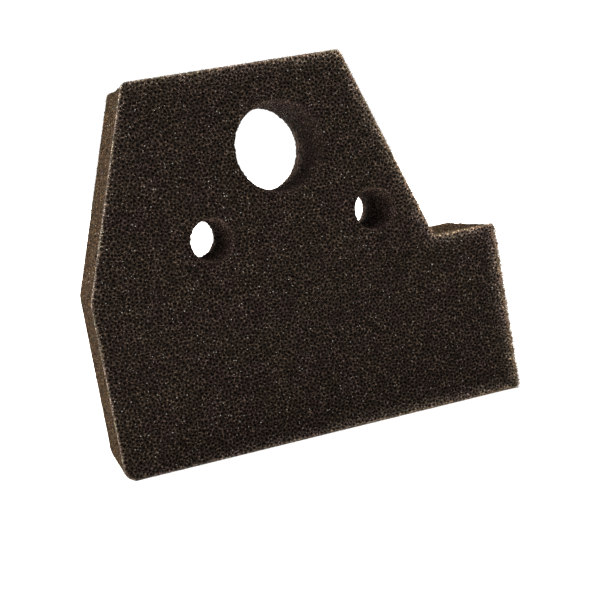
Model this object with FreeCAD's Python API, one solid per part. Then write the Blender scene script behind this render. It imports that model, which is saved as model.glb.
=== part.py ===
import FreeCAD, Part

import math
import os

# Foam air-filter element for a small engine, in millimetres.
# One block of open-cell foam, die-cut in one stroke: a wide low foot with a symmetric
# trapezoid standing on its left part, and three round holes for the posts of the air box.
#
# Frame: +X along the foot, +Y through the thickness (the front face looks along -Y),
# +Z up from the foot. The origin is under the middle of the block, on the foot's lower face.

# Driving dimensions
FOOT_WIDTH = 98.0
FOOT_HEIGHT = 41.0
TOTAL_HEIGHT = 87.5
THICKNESS = 25.0

TRAPEZOID_BASE = 82.5        # width of the trapezoid where it leaves the foot
TRAPEZOID_TOP = 51.0         # width of the upper edge, centred over that base

LARGE_HOLE_R = 10.7          # clears the middle boss of the air box
SMALL_HOLE_R = 5.2           # clears a sleeved M6 stud
LARGE_HOLE_Z = 67.9
SMALL_HOLE_Z = 49.7
SMALL_HOLE_SPACING = 39.6    # between the two small holes
SMALL_HOLE_SHIFT = 0.4       # the pair's middle lies this far right of the large hole's

CORNER_R = 1.5               # the cutting rule's bend at most outer corners
HEEL_R = 2.8                 # its wider bend at the foot's lower left corner
KINK_R = 4.0                 # the softer bend where the foot meets the left slope
NOTCH_R = 0.8                # the inner corner between the right slope and the foot

# Worked out from them
LEFT = -FOOT_WIDTH / 2
RIGHT = FOOT_WIDTH / 2
SLOPE_RUN = (TRAPEZOID_BASE - TRAPEZOID_TOP) / 2
FRONT_Y = -THICKNESS / 2


def corners():
    """The outline's corners with their radii, anticlockwise as seen from the front."""
    return [
        (LEFT, 0.0, HEEL_R),
        (RIGHT, 0.0, CORNER_R),
        (RIGHT, FOOT_HEIGHT, CORNER_R),
        (LEFT + TRAPEZOID_BASE, FOOT_HEIGHT, NOTCH_R),
        (LEFT + TRAPEZOID_BASE - SLOPE_RUN, TOTAL_HEIGHT, CORNER_R),
        (LEFT + SLOPE_RUN, TOTAL_HEIGHT, CORNER_R),
        (LEFT, FOOT_HEIGHT, KINK_R),
    ]


def corner_arc(before, corner, after):
    """The start, middle and end of the arc that rounds one corner, as X and Z."""
    x, z, radius = corner
    arms = []
    for end in (before, after):
        length = math.hypot(end[0] - x, end[1] - z)
        arms.append(((end[0] - x) / length, (end[1] - z) / length))
    (ax, az), (bx, bz) = arms
    half_angle = math.acos(ax * bx + az * bz) / 2
    setback = radius / math.tan(half_angle)
    middle = radius / math.sin(half_angle) - radius
    bisector = math.hypot(ax + bx, az + bz)
    return [
        (x + setback * ax, z + setback * az),
        (x + middle * (ax + bx) / bisector, z + middle * (az + bz) / bisector),
        (x + setback * bx, z + setback * bz),
    ]


def outline_face():
    """The block's outline as a face in the plane of the front."""
    points = corners()
    count = len(points)
    arcs = [
        corner_arc(points[i - 1], points[i], points[(i + 1) % count]) for i in range(count)
    ]
    edges = []
    for i, arc in enumerate(arcs):
        start, middle, end = [FreeCAD.Vector(x, FRONT_Y, z) for x, z in arc]
        next_x, next_z = arcs[(i + 1) % count][0]
        edges.append(Part.Arc(start, middle, end).toShape())
        edges.append(Part.LineSegment(end, FreeCAD.Vector(next_x, FRONT_Y, next_z)).toShape())
    return Part.Face(Part.Wire(edges))


def hole(x, z, radius):
    """A drill-shaped cutter that goes right through the thickness."""
    start = FreeCAD.Vector(x, -THICKNESS, z)
    return Part.makeCylinder(radius, 2 * THICKNESS, start, FreeCAD.Vector(0, 1, 0))


def foam_element():
    """The block with its three post holes."""
    block = outline_face().extrude(FreeCAD.Vector(0, THICKNESS, 0))
    holes = [
        hole(0.0, LARGE_HOLE_Z, LARGE_HOLE_R),
        hole(SMALL_HOLE_SHIFT - SMALL_HOLE_SPACING / 2, SMALL_HOLE_Z, SMALL_HOLE_R),
        hole(SMALL_HOLE_SHIFT + SMALL_HOLE_SPACING / 2, SMALL_HOLE_Z, SMALL_HOLE_R),
    ]
    return block.cut(holes)


os.makedirs("parts", exist_ok=True)
element = foam_element()
if len(element.Solids) != 1 or not element.isValid():
    raise RuntimeError("the foam element is not one valid solid")
element.Solids[0].exportStep("parts/foam_element.step")
print("foam_element", round(element.Volume / 1000, 2), "cm3")
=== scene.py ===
import math

import bpy
import numpy as np
from mathutils import Matrix, Vector
from mathutils.geometry import delaunay_2d_cdt


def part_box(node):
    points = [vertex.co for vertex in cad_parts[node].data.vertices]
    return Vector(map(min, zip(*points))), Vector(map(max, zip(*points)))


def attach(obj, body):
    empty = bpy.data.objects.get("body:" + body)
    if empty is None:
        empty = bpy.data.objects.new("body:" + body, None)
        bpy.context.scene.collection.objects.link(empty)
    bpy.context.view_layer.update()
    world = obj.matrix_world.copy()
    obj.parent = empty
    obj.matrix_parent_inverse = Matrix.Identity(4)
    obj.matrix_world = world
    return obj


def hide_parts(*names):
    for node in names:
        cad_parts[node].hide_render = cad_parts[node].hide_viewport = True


# A die-cut block of open-cell foam, standing on its foot on a pale floor.
# Every foam cell that the cut opened is a real pit in the mesh: its middle is pushed in, and
# the struts between the cells stay up. The foam is worked out in millimetres and handed to
# Blender in metres.

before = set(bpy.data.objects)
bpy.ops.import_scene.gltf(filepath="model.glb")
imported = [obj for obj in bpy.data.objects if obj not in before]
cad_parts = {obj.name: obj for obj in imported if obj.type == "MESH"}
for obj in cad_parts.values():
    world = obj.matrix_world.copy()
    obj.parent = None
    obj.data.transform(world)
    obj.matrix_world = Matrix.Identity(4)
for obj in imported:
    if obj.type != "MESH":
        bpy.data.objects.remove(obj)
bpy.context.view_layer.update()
NODE = "foam_element"
MM = 0.001
SEED = 7

# Foam cells
CELL_GAP = 0.695              # least distance between the middles of two cells
TRIES_PER_CELL = 12           # random places tried for each cell that fits
RIM_STEP = 0.85               # distance between the cells along a cut edge
RIM_UNEVENNESS = 0.25         # how far each of those strays, in steps
RIM_CLEARANCE = 0.6 * CELL_GAP  # least distance from another cell to a cut edge
PIT_DEPTH = (0.16, 0.46)      # how far a cell's middle lies under the cut
RIM_PIT_SHARE = 0.15          # a cell on the outline is this much as deep
HOLE_PIT_SHARE = 0.70         # and so is one on a hole's rim
RIM_STRUT = 0.85              # on the outline it gets little painted pit shade and is nearly as pale as a strut
STRUT_JITTER = 0.07           # how unevenly the struts stand
STRUT_LIMITS = (-0.2, 0.25)   # the lowest and the highest
TUFT_SHARE = 0.06             # share of struts that stick out as tufts
TUFT_HEIGHT = 0.22

# The die squeezes the foam, so the outer wall pulls in between the two faces, and the hole
# walls swell a little into the holes
OUTER_WAIST = 0.50
STIFF_BELOW, SOFT_ABOVE = 44.0, 80.0
STIFF_SHARE = 0.12            # the wide foot keeps its walls nearly straight
HOLE_WAIST = -0.85
WAIST_FLATNESS = 2.4          # higher is flatter halfway through the block
EDGE_ROUNDING = 0.16
FACE_WAVE = 0.10              # gentle unevenness of the two large faces
WAVE_X = (9.0, 0.7)           # its length over two pi, and its phase, along X
WAVE_Z = (11.0, 0.3)          # and along Z

# Broken struts along the outline's cut edges; the hole rims have none
FUZZ_PER_CELL = (12, 90)      # spikes on a cell where the fuzz is thin and where it is thick
FUZZ_SPREAD = 0.60            # how far from the cell's middle a spike starts
FUZZ_ROOT = 0.12              # how deep it starts
FUZZ_LENGTH = (0.05, 0.95)    # how far it reaches beyond the edge
FUZZ_STRETCH = (0.12, 1.8)    # times this where the fuzz is thin and where it is thick
FUZZ_GROWTH = 6               # it is thick only near the right end, on edges that face right
FUZZ_LEAN = 0.55              # how much the spikes differ in direction
FUZZ_FORWARD = 0.3            # a spike keeps this much of its turn toward the front or back
FUZZ_RADIUS = 0.05
FUZZ_GAP = 0.40               # a spike gets the painted glow and edge highlight of foam this far from the cut edge
FUZZ_SIDE_SHARE = 0.5         # and this much like the side wall, its painted light included

BAKE_MAP = "OFBake"           # the name of the UV map laid out for this mesh
CHART_MARGIN = 1.5
SEAM_JUMP = 3 * CELL_GAP      # neighbours farther apart than this on a chart meet at its seam

# Foam colours, linear, and the sizes of their unevenness
# painted shade: each cell's middle is coloured near-black for the shade deep in the open cell
PIT_SHADE_COLOUR = (0.0014, 0.0010, 0.0007)
STRUT_COLOUR = (0.0235, 0.0162, 0.0121)
GLINT_COLOUR = (0.44, 0.43, 0.40)
STRUT_START = 0.30            # a cell is painted with pit shade up to this share of the way to a strut
TONE = (0.7, 1.5, 1.5)        # darkest and palest tone of a vertex, and how rare pale is
GRAIN_AND_SPARKLES = (0.40, 4.6, 7.0)      # the same for the fine grain; its rare pale grains are painted sparkles
GRAIN_AND_SPARKLE_SIZE = 0.20
WEB_SIZE = 0.42
WEB_HEIGHT = 0.12
WEB_STRENGTH = 0.6
WEB_EDGES = (0.02, 0.25)
FOAM_ROUGHNESS = (0.9, 0.65)  # between the web's threads and on them
FOAM_SPECULAR = 0.03
GLINT_SIZE = 0.60
GLINT_EDGES = (0.10, 0.22)
GLINT_SHARE = 0.08            # share of the glint cells that show one
HUE_SIZE = 7.0
HUE_TINTS = (1.02, 0.98, 1.03), (0.99, 1.02, 0.94)
HUE_EDGES = (0.38, 0.62)
MOTTLE_SIZE = 2.4             # the cut sides are mottled as well
MOTTLE_TINTS = (1.10, 0.98, 0.97), (0.90, 0.98, 0.90)
MOTTLE_EDGES = (0.35, 0.65)
SIDE_TONE_AND_LIGHT = (1.44, 1.26, 0.86)  # the cut sides are warmer and paler than the faces: partly their own tone, partly painted light of the warm key
HOLE_WALL_PAINTED_LIGHT = (2.50, 2.40, 2.60)  # painted light: the walls of the small holes are made paler for the light that reaches into them
LARGE_HOLE_LIGHT_SHARE = 0.50         # the large hole's wall gets only this much of that painted light
RIDGE_HIGHLIGHT_TINT = (5.0, 7.2, 12.0)   # painted highlight: the sides are palest and greyest along their two edges, where the light catches them
RIDGE_HIGHLIGHT_FADE = 0.30
RIDGE_HIGHLIGHT_AT_ENDS = (1.0, 0.05)   # how strong that painted highlight is at the left end and at the right end
EDGE_GLOW_TINT = (16.5, 18.5, 20.5)  # painted light: the faces are paler near the outline, a painted glow of light through the thin foam there
EDGE_GLOW_FADE = 0.78
EDGE_GLOW_AT_ENDS = (0.06, 1.0)    # how strong that painted glow is at the left end and at the right end
EDGE_GLOW_ON_SIDE = 0.08           # its share on the side wall

# Studio
FLOOR_HALF = 4.0              # metres
FLOOR_COLOUR = (0.78, 0.78, 0.78)
ROOM_STRENGTH = 1.15

# Camera, in metres in the frame's own axes
CAMERA_PLACE = (-0.0717, -0.2702, 0.0662)
CAMERA_AIM = (-0.0019, -0.0125, 0.0324)
CAMERA_ROLL = math.radians(10.09)
CAMERA_LENS = 69.9
SENSOR = 36.0

# Where a cell is on the block
FACE, OUTLINE, HOLE_RIM, LARGE_HOLE_WALL, HOLE_WALL = range(5)

rng = np.random.default_rng(SEED)


# ---------------------------------------------------------------- outline from the frame

def front_loops():
    """The CAD block's outline and hole rims on its front face, as X and Z in millimetres.

    Each loop runs with the material on its left as seen from the front."""
    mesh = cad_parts[NODE].data
    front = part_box(NODE)[0].y
    edges = set()
    for face in mesh.polygons:
        points = [mesh.vertices[i].co for i in face.vertices]
        if face.normal.y < -0.9 and all(abs(p.y - front) < 1e-6 for p in points):
            names = [(round(p.x / MM, 3), round(p.z / MM, 3)) for p in points]
            edges.update(zip(names, names[1:] + names[:1]))
    after = {a: b for a, b in edges if (b, a) not in edges}
    loops = []
    while after:
        start, here = after.popitem()
        loop = [start]
        while here != start:
            loop.append(here)
            here = after.pop(here)
        loops.append(np.array(loop))
    return sorted(loops, key=lambda loop: -np.ptp(loop[:, 0]))


class Rim:
    """One closed loop, walked by its arc length."""

    def __init__(self, loop):
        self.closed = np.vstack([loop, loop[:1]])
        steps = np.hypot(*np.diff(self.closed, axis=0).T)
        self.at = np.concatenate([[0.0], np.cumsum(steps)])
        self.length = self.at[-1]

    def point(self, s):
        s = np.mod(s, self.length)
        return np.stack([np.interp(s, self.at, self.closed[:, i]) for i in (0, 1)], -1)

    def outward(self, s):
        """The unit normal that points away from the material."""
        reach = 0.35
        along = self.point(s + reach) - self.point(s - reach)
        along /= np.linalg.norm(along, axis=-1, keepdims=True)
        return np.stack([along[..., 1], -along[..., 0]], -1)

    def stations(self):
        """Uneven steps along the loop, one for each cell on a cut edge."""
        count = round(self.length / RIM_STEP)
        stray = rng.uniform(-RIM_UNEVENNESS, RIM_UNEVENNESS, count)
        return (np.arange(count) + stray) % count * self.length / count


def depth_inside(points, loops):
    """How far each point lies inside the material, negative outside it."""
    nearest = np.full(len(points), np.inf)
    crossings = np.zeros(len(points), int)
    x, z = points.T
    for loop in loops:
        for a, b in zip(loop, np.roll(loop, -1, axis=0)):
            run = b - a
            share = np.clip(((points - a) @ run) / (run @ run), 0, 1)
            gap = points - a - share[:, None] * run
            nearest = np.minimum(nearest, np.einsum("ij,ij->i", gap, gap))
            if a[1] != b[1]:
                spans = (a[1] > z) != (b[1] > z)
                crossings += spans & (x < a[0] + (z - a[1]) * run[0] / run[1])
    return np.sqrt(nearest) * np.where(crossings % 2, 1, -1)


# ---------------------------------------------------------------- cells over the surface

def scatter(fixed, candidates, gap, period=0.0):
    """The candidates, in order, that keep gap from every point; a period wraps the first axis."""
    columns = int(period / gap) if period else 0
    width = period / columns if period else gap
    grid = {}

    def cell(p):
        column = int(p[0] // width)
        return (column % columns if columns else column), int(p[1] // gap)

    def crowded(p):
        column, row = cell(p)
        for i in (column - 1, column, column + 1):
            for j in (row - 1, row, row + 1):
                for q in grid.get(((i % columns if columns else i), j), ()):
                    across = abs(p[0] - q[0])
                    if period:
                        across = min(across, period - across)
                    if across * across + (p[1] - q[1]) ** 2 < gap * gap:
                        return True
        return False

    kept = []
    for p in fixed.tolist():
        grid.setdefault(cell(p), []).append(p)
    for p in candidates.tolist():
        if not crowded(p):
            grid.setdefault(cell(p), []).append(p)
            kept.append(p)
    return np.array(kept).reshape(-1, 2)


def triangles(points, rims=()):
    """Delaunay triangles of the points, anticlockwise, inside the outermost of any rims."""
    kind = 1 if len(rims) else 0
    result = delaunay_2d_cdt([Vector(p) for p in points], list(rims), [], kind, 1e-6)
    back = [origin[0] for origin in result[3]]
    found = np.array([[back[i] for i in face] for face in result[2]])
    a, b, c = (points[found[:, i]] for i in range(3))
    turn = (b[:, 0] - a[:, 0]) * (c[:, 1] - a[:, 1]) - (b[:, 1] - a[:, 1]) * (c[:, 0] - a[:, 0])
    found[turn < 0] = found[turn < 0][:, ::-1]
    return found


def candidates_in(low, high):
    """Random places to try for cells."""
    count = int(TRIES_PER_CELL * (high[0] - low[0]) * (high[1] - low[1]) / CELL_GAP ** 2)
    return rng.uniform(low, high, (count, 2))


def face_cells(rims, stations, loops):
    """Cells on one large face: those on the rims, then those inside, and their triangles."""
    edge = np.vstack([rim.point(s) for rim, s in zip(rims, stations)])
    kept = scatter(edge, candidates_in(edge.min(0), edge.max(0)), CELL_GAP)
    points = np.vstack([edge, kept[depth_inside(kept, loops) > RIM_CLEARANCE]])
    links, first = [], 0
    for s in stations:
        count = len(s)
        links += [(first + i, first + (i + 1) % count) for i in range(count)]
        first += count
    found = triangles(points, links)
    loop = np.repeat(np.arange(len(rims) + 1), [len(s) for s in stations] + [len(points) - first])
    loop = loop[found]
    spans_hole = (loop[:, 0] == loop[:, 1]) & (loop[:, 0] == loop[:, 2])
    spans_hole &= (loop[:, 0] > 0) & (loop[:, 0] < len(rims))
    found = found[~spans_hole]
    return points, found, points[found]


def wall_cells(rim, front_s, back_s, thickness):
    """Cells on one wall, as arc length and depth: front rim, back rim, then those between."""
    edge = np.vstack([
        np.stack([front_s, np.zeros(len(front_s))], -1),
        np.stack([back_s, np.full(len(back_s), thickness)], -1),
    ])
    tried = candidates_in((0, RIM_CLEARANCE), (rim.length, thickness - RIM_CLEARANCE))
    points = np.vstack([edge, scatter(edge, tried, CELL_GAP, period=rim.length)])
    overlap = 6 * CELL_GAP
    shifted, owner = [points], [np.arange(len(points))]
    for shift, near in ((-rim.length, points[:, 0] > rim.length - overlap),
                        (rim.length, points[:, 0] < overlap)):
        shifted.append(points[near] + (shift, 0))
        owner.append(np.flatnonzero(near))
    shifted, owner = np.vstack(shifted), np.concatenate(owner)
    found = triangles(shifted)
    middle = shifted[found].mean(1)[:, 0]
    found = found[(middle >= 0) & (middle < rim.length)]
    return points, owner[found], shifted[found]


def waist(share):
    """How much of the full pull-in a wall has at a share of the thickness, 0 at both faces."""
    return 1 - np.abs(2 * share - 1) ** WAIST_FLATNESS


def block_cells():
    """The middle of each cell on the block's surface, and the triangles between them.

    Each triangle also has its chart and its corners' places on that chart, which is laid flat:
    0 is the front, 1 the back, and each loop's wall follows, as arc length and depth."""
    low, high = (np.array(corner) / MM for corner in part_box(NODE))
    front, thickness = low[1], high[1] - low[1]
    loops = front_loops()
    rims = [Rim(loop) for loop in loops]
    front_s = [np.sort(rim.stations()) for rim in rims]
    back_s = [np.sort(rim.stations()) for rim in rims]
    places, faces, on_rim, outline_gap, wall_kind, flat, chart = [], [], [], [], [], [], []
    first = [0, 0]
    total = 0
    for side, (stations, y) in enumerate(((front_s, front), (back_s, front + thickness))):
        turn = 1 - 2 * side
        points, found, corners = face_cells(rims, stations, loops)
        places.append(np.stack([points[:, 0], np.full(len(points), y), points[:, 1]], -1))
        faces.append(found[:, ::turn] + total)
        flat.append(corners[:, ::turn] * (turn, 1))
        chart.append(np.full(len(found), side))
        rim_count = sum(len(s) for s in stations)
        on_rim.append(np.arange(len(points)) < rim_count)
        outline_gap.append(np.maximum(depth_inside(points, loops[:1]), 0))
        kind = np.where(np.arange(len(points)) < rim_count, HOLE_RIM, FACE)
        kind[:len(stations[0])] = OUTLINE
        wall_kind.append(kind)
        first[side] = total
        total += len(points)
    for number, rim in enumerate(rims):
        n_front, n_back = len(front_s[number]), len(back_s[number])
        points, found, corners = wall_cells(rim, front_s[number], back_s[number], thickness)
        s, t = points[n_front + n_back:].T
        owner = np.concatenate([
            first[0] + np.arange(n_front), first[1] + np.arange(n_back), total + np.arange(len(s)),
        ])
        first = [first[0] + n_front, first[1] + n_back]
        wall = rim.point(s)
        softness = np.interp(wall[:, 1], (STIFF_BELOW, SOFT_ABOVE), (STIFF_SHARE, 1.0))
        pull = OUTER_WAIST * softness if number == 0 else HOLE_WAIST
        wall = wall - rim.outward(s) * (pull * waist(t / thickness))[:, None]
        places.append(np.stack([wall[:, 0], front + t, wall[:, 1]], -1))
        faces.append(owner[found][:, ::-1])
        flat.append(corners[:, ::-1] * (1, -1))
        chart.append(np.full(len(found), 2 + number))
        on_rim.append(np.zeros(len(s), bool))
        to_outline = depth_inside(wall, loops[:1])
        outline_gap.append(np.minimum(t, thickness - t) if number == 0 else to_outline)
        wall_kind.append(np.full(len(s), (OUTLINE, LARGE_HOLE_WALL, HOLE_WALL, HOLE_WALL)[number]))
        total += len(s)
    values = places, faces, on_rim, outline_gap, wall_kind, flat, chart
    return tuple(np.concatenate(v) for v in values)


# ---------------------------------------------------------------- pits and struts

def normals_of(places, faces):
    """Area-weighted unit normals, of the vertices and of the faces."""
    a, b, c = (places[faces[:, i]] for i in range(3))
    across = np.cross(b - a, c - a)
    at_vertex = np.zeros_like(places)
    for i in range(3):
        np.add.at(at_vertex, faces[:, i], across)
    return tuple(v / np.maximum(np.linalg.norm(v, axis=1, keepdims=True), 1e-9)
                 for v in (at_vertex, across))


def split_cells(faces, flat, chart, count):
    """Each cell becomes a fan round its middle, with a corner where three cells meet.

    Returns the new triangles, and their corners' places on the old triangle's chart."""
    start = faces.ravel()
    end = np.roll(faces, -1, axis=1).ravel()
    own = np.repeat(np.arange(len(faces)), 3)
    order = np.argsort(start * count + end)
    across = own[order[np.searchsorted((start * count + end)[order], end * count + start)]]
    middle = flat.mean(1)
    flat_start = flat.reshape(-1, 2)
    flat_end = np.roll(flat, -1, axis=1).reshape(-1, 2)
    mirrored = flat_start + flat_end - middle[own]
    joined = (chart[own] == chart[across]) & (
        np.abs(middle[across] - mirrored).max(1) < SEAM_JUMP)
    flat_across = np.where(joined[:, None], middle[across], mirrored)
    fan = np.stack([start, count + across, count + own], -1)
    return fan, np.stack([flat_start, flat_across, middle[own]], 1), chart[own]


def pack_charts(flat, chart):
    """Lays the charts out on one square: both faces side by side, then the walls in strips."""
    placed = flat.copy()
    width = 0.0
    corner = np.zeros(2)
    for number in range(chart.max() + 1):
        mine = chart == number
        if number == 2:
            corner = np.array([0.0, placed[chart < 2][..., 1].max() + CHART_MARGIN])
            width = placed[chart < 2][..., 0].max()
        points = flat[mine]
        low = points.reshape(-1, 2).min(0)
        points = points - low
        rows = 2 if number == 2 else 1
        if rows == 2:
            height = points[..., 1].max() + CHART_MARGIN
            row = (points[..., 0].mean(1) > width).astype(int)
            points = points - row[:, None, None] * np.array([width, 0.0])
            points[..., 1] += row[:, None] * height
        placed[mine] = points + corner
        top = placed[mine].reshape(-1, 2).max(0)
        if rows == 2:
            corner = np.array([0.0, top[1] + CHART_MARGIN])
        else:
            corner = np.array([top[0] + CHART_MARGIN, corner[1]])
    return (placed - placed.reshape(-1, 2).min(0)) / np.ptp(placed.reshape(-1, 2), axis=0).max()


def mesh_of(name, vertices, faces, values):
    """A mesh in metres from millimetres, with one attribute for each of the values."""
    mesh = bpy.data.meshes.new(name)
    mesh.from_pydata((vertices * MM).tolist(), [], faces.tolist())
    for key, value in values.items():
        layer = mesh.attributes.new(key, "FLOAT", "POINT")
        layer.data.foreach_set("value", np.asarray(value, np.float32))
    return mesh


def foam_mesh(places, at_cell, faces, on_rim, outline_gap, wall_kind, flat, chart):
    """The whole foam surface as a mesh, with what its material needs on each vertex."""
    count = len(places)
    at_strut = normals_of(places, faces)[1]
    struts = places[faces].mean(1)
    places = places - at_cell * np.where(on_rim, EDGE_ROUNDING, 0.0)[:, None]
    outline = wall_kind == OUTLINE
    shallow = np.select([on_rim & outline, on_rim], [RIM_PIT_SHARE, HOLE_PIT_SHARE], 1.0)
    pit = rng.uniform(*PIT_DEPTH, count) * shallow
    lift = rng.normal(0, STRUT_JITTER, len(faces))
    tufts = rng.random(len(faces)) < TUFT_SHARE
    lift[tufts] += TUFT_HEIGHT * rng.random(tufts.sum())
    lift = np.clip(lift, *STRUT_LIMITS) * shallow[faces].min(1)
    vertices = np.vstack([places - at_cell * pit[:, None], struts + at_strut * lift[:, None]])
    wave = np.sin(vertices[:, 0] / WAVE_X[0] + WAVE_X[1])
    wave = wave * np.sin(vertices[:, 2] / WAVE_Z[0] + WAVE_Z[1])
    vertices[:, 1] -= FACE_WAVE * wave * np.sign(vertices[:, 1])
    vertices[:, 2] = np.maximum(vertices[:, 2], 0.0)
    fans, flat, chart = split_cells(faces, flat, chart, count)
    # painted light on the hole walls: full on the small holes, part on the large one
    walls = [wall_kind == HOLE_WALL, wall_kind == LARGE_HOLE_WALL]
    hole = np.select(walls, [1.0, LARGE_HOLE_LIGHT_SHARE])
    mesh = mesh_of("foam_block", vertices, fans, {
        "strut": np.concatenate([np.where(on_rim & outline, RIM_STRUT, 0.0), np.ones(len(faces))]),
        "outline_gap": np.concatenate([outline_gap, outline_gap[faces].mean(1)]),
        "side_wall": np.concatenate([outline, outline[faces].mean(1)]),
        "hole_wall_light": np.concatenate([hole, hole[faces].mean(1)]),
        "tone": rng.random(len(vertices)),
    })
    layer = mesh.uv_layers.new(name=BAKE_MAP)
    layer.data.foreach_set("uv", pack_charts(flat, chart).ravel().astype(np.float32))
    print("foam:", count, "cells,", len(mesh.polygons), "triangles")
    return mesh


def fuzz_mesh(places, at_cell, on_rim, wall_kind):
    """Broken struts that stand out of the outline's cut edges, each a thin closed spike.

    Those at the lower edge are held at the floor, and some of them end up flat on it."""
    left, right = places[:, 0].min(), places[:, 0].max()
    thick = ((places[:, 0] - left) / (right - left)) ** FUZZ_GROWTH
    thick *= np.clip(math.sqrt(2) * at_cell[:, 0], 0, 1)
    spikes = np.round(np.interp(thick, (0, 1), FUZZ_PER_CELL)).astype(int)
    spikes[~on_rim | (wall_kind != OUTLINE)] = 0
    chosen = np.repeat(np.arange(len(places)), spikes)
    count = len(chosen)
    out = at_cell[chosen]
    drift = rng.uniform(-FUZZ_SPREAD, FUZZ_SPREAD, (count, 3))
    drift -= out * (drift * out).sum(1, keepdims=True)
    root = places[chosen] + drift - out * (EDGE_ROUNDING + FUZZ_ROOT)
    lean = rng.normal(0, FUZZ_LEAN, (count, 3))
    heading = out * (1, FUZZ_FORWARD, 1) + lean
    heading /= np.linalg.norm(heading, axis=1, keepdims=True)
    longer = np.interp(thick[chosen], (0, 1), FUZZ_STRETCH)
    reach = FUZZ_ROOT + rng.uniform(*FUZZ_LENGTH, count) * longer
    across = np.cross(heading, rng.normal(0, 1, (count, 3)))
    across /= np.linalg.norm(across, axis=1, keepdims=True)
    side = np.cross(heading, across)
    corners = [root + heading * reach[:, None]]
    for turn in range(3):
        angle = 2 * math.pi * turn / 3
        corners.append(root + FUZZ_RADIUS * (across * math.cos(angle) + side * math.sin(angle)))
    vertices = np.concatenate(corners)
    vertices[:, 2] = np.maximum(vertices[:, 2], 0.0)
    tip, a, b, c = (np.arange(count) + count * i for i in range(4))
    sides = (tip, a, b), (tip, b, c), (tip, c, a), (a, c, b)
    faces = np.concatenate([np.stack(corner, -1) for corner in sides])
    return mesh_of("cut_fuzz", vertices, faces, {
        "strut": np.ones(4 * count),
        "outline_gap": np.full(4 * count, FUZZ_GAP),
        "side_wall": np.full(4 * count, FUZZ_SIDE_SHARE),
        "hole_wall_light": np.zeros(4 * count),
        "tone": np.tile(rng.random(count), 4),
    })


# ---------------------------------------------------------------- material

class Nodes:
    """Short hand for a material's node tree."""

    def __init__(self, name):
        self.material = bpy.data.materials.new(name)
        self.material.use_nodes = True
        self.tree = self.material.node_tree
        self.shader = self.tree.nodes["Principled BSDF"]

    def put(self, socket, value):
        if isinstance(value, bpy.types.NodeSocket):
            self.tree.links.new(value, socket)
        else:
            socket.default_value = value

    def add(self, kind, inputs=None, **settings):
        node = self.tree.nodes.new(kind)
        for name, value in settings.items():
            setattr(node, name, value)
        for name, value in (inputs or {}).items():
            self.put(node.inputs[name], value)
        return node

    def value(self, name):
        return self.add("ShaderNodeAttribute", attribute_name=name).outputs["Fac"]

    def maths(self, operation, a, b):
        return self.add("ShaderNodeMath", {0: a, 1: b}, operation=operation).outputs[0]

    def times(self, base, factor):
        return self.mix(1.0, base, factor, "MULTIPLY")

    def tint(self, base, share, factors):
        """The base colour times the factors, as far as share goes."""
        return self.times(base, self.mix(share, colour(1, 1, 1), colour(*factors)))

    def span(self, value, low, high, to_low=0.0, to_high=1.0):
        inputs = {"Value": value, "From Min": low, "From Max": high,
                  "To Min": to_low, "To Max": to_high}
        return self.add("ShaderNodeMapRange", inputs).outputs[0]

    def mix(self, share, a, b, blend="MIX"):
        node = self.add("ShaderNodeMix", data_type="RGBA", blend_type=blend)
        self.put(node.inputs["Factor"], share)
        self.put(node.inputs["A"], a)
        self.put(node.inputs["B"], b)
        return node.outputs["Result"]


def colour(red, green, blue):
    return (red, green, blue, 1.0)


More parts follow.
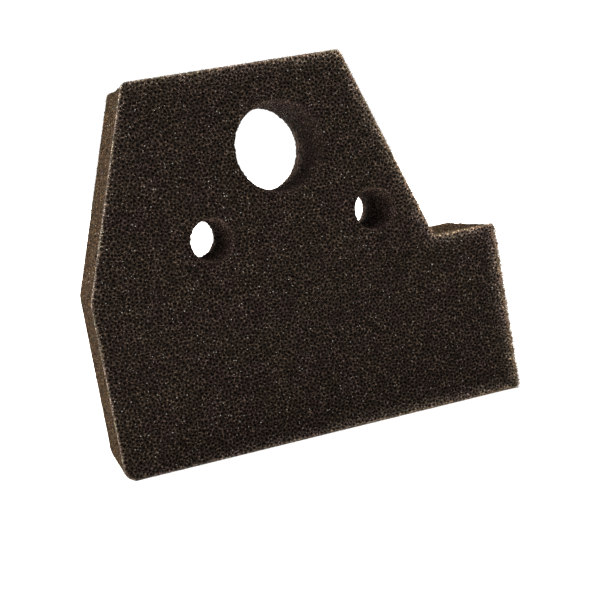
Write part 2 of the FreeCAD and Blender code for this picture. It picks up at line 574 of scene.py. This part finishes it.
def foam_material():
    """Dark brown open-cell foam: uneven brown struts, cells made near-black by painted shade, and
    a few painted pale glints.
    """
    n = Nodes("foam")
    place = n.add("ShaderNodeTexCoord").outputs["Object"]

    def voronoi(size, feature="F1"):
        inputs = {"Vector": place, "Scale": 1 / (size * MM)}
        return n.add("ShaderNodeTexVoronoi", inputs, feature=feature).outputs

    def noise(size):
        inputs = {"Vector": place, "Scale": 1 / (size * MM), "Detail": 3.0}
        return n.add("ShaderNodeTexNoise", inputs).outputs["Fac"]

    def patches(size, edges, tints):
        return n.mix(n.span(noise(size), *edges), colour(*tints[0]), colour(*tints[1]))

    def chance(cells):
        """One random number for each of the cells."""
        return n.add("ShaderNodeSeparateColor", {"Color": cells["Color"]}).outputs[0]

    def skewed(value, low, high, power):
        """Mostly near low, now and then near high."""
        return n.span(n.maths("POWER", value, power), 0, 1, low, high)

    def fade(value, distance):
        return n.maths("POWER", math.e, n.maths("MULTIPLY", value, -1 / distance))

    outline_gap = n.value("outline_gap")
    side_wall = n.value("side_wall")

    # painted shade: the cells' middles are near-black, the struts between them brown
    rise = n.span(n.value("strut"), STRUT_START, 1.0)
    cells = n.mix(rise, colour(*PIT_SHADE_COLOUR), colour(*STRUT_COLOUR))
    cells = n.times(cells, skewed(n.value("tone"), *TONE))
    # random grain tone, with rare pale grains that are painted sparkles
    cells = n.times(cells, skewed(chance(voronoi(GRAIN_AND_SPARKLE_SIZE)), *GRAIN_AND_SPARKLES))

    cells = n.times(cells, patches(HUE_SIZE, HUE_EDGES, HUE_TINTS))
    mottled = n.times(cells, patches(MOTTLE_SIZE, MOTTLE_EDGES, MOTTLE_TINTS))
    cells = n.mix(side_wall, cells, mottled)

    # partly the cut sides' own warmer tone, partly painted light of the warm key
    cells = n.tint(cells, side_wall, SIDE_TONE_AND_LIGHT)
    # painted light: the hole walls are made paler
    cells = n.tint(cells, n.value("hole_wall_light"), HOLE_WALL_PAINTED_LIGHT)
    along_x = n.add("ShaderNodeSeparateXYZ", {"Vector": place}).outputs["X"]
    low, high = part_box(NODE)
    # painted highlight along the side walls' two edges, strongest at the left end
    ridge_highlight = n.maths("MULTIPLY", side_wall, side_wall)
    ridge_highlight = n.maths("MULTIPLY", ridge_highlight, fade(outline_gap, RIDGE_HIGHLIGHT_FADE))
    ridge_highlight = n.maths("MULTIPLY", ridge_highlight, n.span(along_x, low.x, high.x, *RIDGE_HIGHLIGHT_AT_ENDS))
    cells = n.tint(cells, ridge_highlight, RIDGE_HIGHLIGHT_TINT)
    # painted glow of light through the thin foam near the outline, strongest at the right end
    edge_glow = n.maths("MULTIPLY", n.span(along_x, low.x, high.x, *EDGE_GLOW_AT_ENDS),
                     n.span(side_wall, 0, 1, 1.0, EDGE_GLOW_ON_SIDE))
    edge_glow = n.maths("MULTIPLY", edge_glow, fade(outline_gap, EDGE_GLOW_FADE))
    cells = n.tint(cells, edge_glow, EDGE_GLOW_TINT)

    specks = voronoi(GLINT_SIZE)
    spot = n.span(specks["Distance"], *GLINT_EDGES, 1.0, 0.0)
    glint = n.maths("MULTIPLY", spot, n.span(chance(specks), 1 - 2 * GLINT_SHARE, 1.0))
    cells = n.mix(glint, cells, colour(*GLINT_COLOUR))

    threads = voronoi(WEB_SIZE, "DISTANCE_TO_EDGE")["Distance"]
    web = n.span(threads, *WEB_EDGES, 1.0, 0.0)
    inputs = {"Strength": WEB_STRENGTH, "Distance": WEB_HEIGHT * MM, "Height": web}
    bump = n.add("ShaderNodeBump", inputs)
    n.put(n.shader.inputs["Base Color"], cells)
    n.put(n.shader.inputs["Roughness"], n.span(web, 0, 1, *FOAM_ROUGHNESS))
    n.put(n.shader.inputs["Normal"], bump.outputs[0])
    n.shader.inputs["Specular IOR Level"].default_value = FOAM_SPECULAR
    return n.material


# ---------------------------------------------------------------- piece and studio

def link(name, data):
    piece = bpy.data.objects.new(name, data)
    bpy.context.scene.collection.objects.link(piece)
    return piece


def make_foam():
    """The block itself, as one piece, and the fuzz along its outline."""
    places, faces, on_rim, outline_gap, wall_kind, flat, chart = block_cells()
    at_cell = normals_of(places, faces)[0]
    block = foam_mesh(places, at_cell, faces, on_rim, outline_gap, wall_kind, flat, chart)
    foam = link("foam_block", block)
    fuzz = link("cut_fuzz", fuzz_mesh(places, at_cell, on_rim, wall_kind))
    material = foam_material()
    for piece in (foam, fuzz):
        piece.data.materials.append(material)
        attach(piece, "root")
    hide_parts(NODE)


def make_floor():
    """A pale floor, wide enough to reach past every view."""
    half = FLOOR_HALF
    mesh = bpy.data.meshes.new("floor")
    mesh.from_pydata([(-half, -half, 0), (half, -half, 0), (half, half, 0), (-half, half, 0)],
                     [], [(0, 1, 2, 3)])
    floor = link("floor", mesh)
    n = Nodes("floor")
    n.shader.inputs["Base Color"].default_value = colour(*FLOOR_COLOUR)
    n.shader.inputs["Roughness"].default_value = 0.9
    n.shader.inputs["Specular IOR Level"].default_value = 0.0
    mesh.materials.append(n.material)


def make_lamp(name, energy, width, tint, to_light):
    """A far lamp, width degrees across, in the direction to_light."""
    lamp = bpy.data.lights.new(name, "SUN")
    lamp.energy = energy
    lamp.angle = math.radians(width)
    lamp.color = tint
    link(name, lamp).rotation_euler = Vector(to_light).to_track_quat("Z", "Y").to_euler()


def make_light():
    """A white room, one broad warm key from the upper left, a little behind, and a top light."""
    world = bpy.data.worlds.new("studio")
    world.use_nodes = True
    background = world.node_tree.nodes["Background"]
    background.inputs["Color"].default_value = colour(1, 1, 1)
    background.inputs["Strength"].default_value = ROOM_STRENGTH
    bpy.context.scene.world = world
    make_lamp("key", energy=9.0, width=25, tint=(1.0, 0.93, 0.84), to_light=(-0.75, 0.35, 0.55))
    make_lamp("top", energy=6.0, width=40, tint=(1.0, 0.97, 0.93), to_light=(0.20, 0.02, 1.0))


def make_camera():
    """The camera stands left of the block and close to it, rolled a little."""
    camera = bpy.data.cameras.new("camera")
    camera.lens = CAMERA_LENS
    camera.sensor_width = SENSOR
    camera.clip_start = 0.01
    holder = link("camera", camera)
    place, aim = Vector(CAMERA_PLACE), Vector(CAMERA_AIM)
    turn = (aim - place).to_track_quat("-Z", "Y").to_matrix().to_4x4()
    holder.matrix_world = Matrix.Translation(place) @ turn @ Matrix.Rotation(-CAMERA_ROLL, 4, "Z")
    bpy.context.scene.camera = holder


make_camera()
make_floor()
make_light()
make_foam()
bpy.context.scene.view_settings.view_transform = "Standard"
